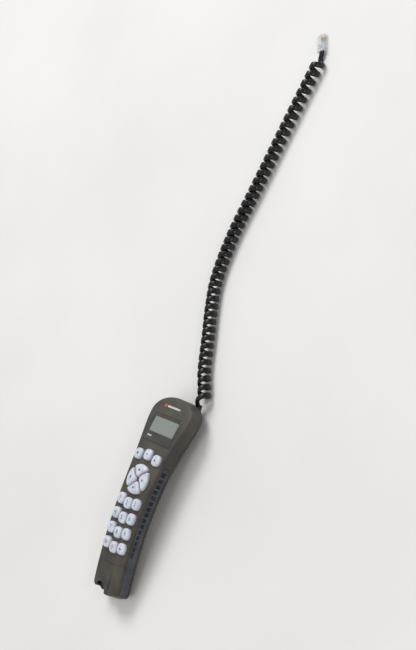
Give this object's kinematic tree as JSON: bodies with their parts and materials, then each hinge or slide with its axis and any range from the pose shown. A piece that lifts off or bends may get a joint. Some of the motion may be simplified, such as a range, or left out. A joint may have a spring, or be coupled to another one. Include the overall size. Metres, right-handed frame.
{
  "type": "hand controller",
  "caption": "Slim keypad handset with an arched face, a display window in a wide round head, ribbed side grips and a coiled flat cord that ends in a clear modular plug.",
  "frame": {"origin": "middle of the box round the handset at the height of the surface that it lies on, its cord left out", "axes": "+Z out of the keypad side, +Y towards the head and its display, +X to the right of someone reading the keys"},
  "size_m": [0.0783, 0.6277, 0.0386],
  "materials": {
    "shell": "fine matte texture, warm dark grey",
    "grip": "soft matt, bluish dark grey",
    "key": "translucent silicone, satin",
    "window": "clear acrylic with a dark printed surround",
    "display": "grey-green liquid crystal",
    "board": "solder mask",
    "chip": "moulded black",
    "metal": "zinc plated",
    "cord": "glossy black jacket",
    "plug": "clear polycarbonate"
  },
  "bodies": {
    "handset": {"front_shell": "shell", "back_shell": "shell", "left_grip": "grip", "right_grip": "grip", "window_lens": "window", "lcd_bezel": "shell", "lcd_glass": "display", "lcd_module": "board", "keypad_mat": "key", "circuit_board": "board", "processor_chip": "chip", "driver_chip": "chip", "memory_chip": "chip", "clock_crystal": "metal", "data_port": "chip", "cord_bushing": "cord", "case_screw_1": "metal", "case_screw_2": "metal", "case_screw_3": "metal", "case_screw_4": "metal", "case_screw_5": "metal", "cord_near_end": "cord", "cord_coil": "cord", "cord_far_end": "cord", "plug_body": "plug"},
    "top_key_left": {"top_key_left": "key"},
    "top_key_middle": {"top_key_middle": "key"},
    "top_key_right": {"top_key_right": "key"},
    "arrow_key_right": {"arrow_key_right": "key"},
    "arrow_key_up": {"arrow_key_up": "key"},
    "arrow_key_left": {"arrow_key_left": "key"},
    "arrow_key_down": {"arrow_key_down": "key"},
    "number_key_1": {"number_key_1": "key"},
    "number_key_2": {"number_key_2": "key"},
    "number_key_3": {"number_key_3": "key"},
    "number_key_4": {"number_key_4": "key"},
    "number_key_5": {"number_key_5": "key"},
    "number_key_6": {"number_key_6": "key"},
    "number_key_7": {"number_key_7": "key"},
    "number_key_8": {"number_key_8": "key"},
    "number_key_9": {"number_key_9": "key"},
    "number_key_menu": {"number_key_menu": "key"},
    "number_key_0": {"number_key_0": "key"},
    "number_key_back": {"number_key_back": "key"},
    "plug_latch": {"plug_latch": "plug"}
  },
  "joints": [
    {"name": "top_key_left_press", "type": "slide", "parent": "handset", "child": "top_key_left", "axis": [0, -0.0658, -0.9978], "range_m": [0, 0.001], "stiffness_N_per_m": 400, "springref_m": -0.0005},
    {"name": "top_key_middle_press", "type": "slide", "parent": "handset", "child": "top_key_middle", "axis": [0, -0.071, -0.9975], "range_m": [0, 0.001], "stiffness_N_per_m": 400, "springref_m": -0.0005},
    {"name": "top_key_right_press", "type": "slide", "parent": "handset", "child": "top_key_right", "axis": [0, -0.0658, -0.9978], "range_m": [0, 0.001], "stiffness_N_per_m": 400, "springref_m": -0.0005},
    {"name": "arrow_key_right_press", "type": "slide", "parent": "handset", "child": "arrow_key_right", "axis": [0, -0.0157, -0.9999], "range_m": [0, 0.001], "stiffness_N_per_m": 400, "springref_m": -0.0005},
    {"name": "arrow_key_up_press", "type": "slide", "parent": "handset", "child": "arrow_key_up", "axis": [0, -0.0157, -0.9999], "range_m": [0, 0.001], "stiffness_N_per_m": 400, "springref_m": -0.0005},
    {"name": "arrow_key_left_press", "type": "slide", "parent": "handset", "child": "arrow_key_left", "axis": [0, -0.0157, -0.9999], "range_m": [0, 0.001], "stiffness_N_per_m": 400, "springref_m": -0.0005},
    {"name": "arrow_key_down_press", "type": "slide", "parent": "handset", "child": "arrow_key_down", "axis": [0, -0.0157, -0.9999], "range_m": [0, 0.001], "stiffness_N_per_m": 400, "springref_m": -0.0005},
    {"name": "number_key_1_press", "type": "slide", "parent": "handset", "child": "number_key_1", "axis": [0, 0.0338, -0.9994], "range_m": [0, 0.001], "stiffness_N_per_m": 400, "springref_m": -0.0005},
    {"name": "number_key_2_press", "type": "slide", "parent": "handset", "child": "number_key_2", "axis": [0, 0.0378, -0.9993], "range_m": [0, 0.001], "stiffness_N_per_m": 400, "springref_m": -0.0005},
    {"name": "number_key_3_press", "type": "slide", "parent": "handset", "child": "number_key_3", "axis": [0, 0.0338, -0.9994], "range_m": [0, 0.001], "stiffness_N_per_m": 400, "springref_m": -0.0005},
    {"name": "number_key_4_press", "type": "slide", "parent": "handset", "child": "number_key_4", "axis": [0, 0.0659, -0.9978], "range_m": [0, 0.001], "stiffness_N_per_m": 400, "springref_m": -0.0005},
    {"name": "number_key_5_press", "type": "slide", "parent": "handset", "child": "number_key_5", "axis": [0, 0.0699, -0.9976], "range_m": [0, 0.001], "stiffness_N_per_m": 400, "springref_m": -0.0005},
    {"name": "number_key_6_press", "type": "slide", "parent": "handset", "child": "number_key_6", "axis": [0, 0.0659, -0.9978], "range_m": [0, 0.001], "stiffness_N_per_m": 400, "springref_m": -0.0005},
    {"name": "number_key_7_press", "type": "slide", "parent": "handset", "child": "number_key_7", "axis": [0, 0.0978, -0.9952], "range_m": [0, 0.001], "stiffness_N_per_m": 400, "springref_m": -0.0005},
    {"name": "number_key_8_press", "type": "slide", "parent": "handset", "child": "number_key_8", "axis": [0, 0.1017, -0.9948], "range_m": [0, 0.001], "stiffness_N_per_m": 400, "springref_m": -0.0005},
    {"name": "number_key_9_press", "type": "slide", "parent": "handset", "child": "number_key_9", "axis": [0, 0.0978, -0.9952], "range_m": [0, 0.001], "stiffness_N_per_m": 400, "springref_m": -0.0005},
    {"name": "number_key_menu_press", "type": "slide", "parent": "handset", "child": "number_key_menu", "axis": [0, 0.1294, -0.9916], "range_m": [0, 0.001], "stiffness_N_per_m": 400, "springref_m": -0.0005},
    {"name": "number_key_0_press", "type": "slide", "parent": "handset", "child": "number_key_0", "axis": [0, 0.1333, -0.9911], "range_m": [0, 0.001], "stiffness_N_per_m": 400, "springref_m": -0.0005},
    {"name": "number_key_back_press", "type": "slide", "parent": "handset", "child": "number_key_back", "axis": [0, 0.1294, -0.9916], "range_m": [0, 0.001], "stiffness_N_per_m": 400, "springref_m": -0.0005},
    {"name": "plug_latch_flex", "type": "hinge", "parent": "handset", "child": "plug_latch", "pos_m": [-0.02953, 0.51923, 0.0073], "axis": [0.891, 0.454, 0], "range_deg": [0, 8], "stiffness_Nm_per_rad": 0.03, "springref_deg": -2.86}
  ]
}
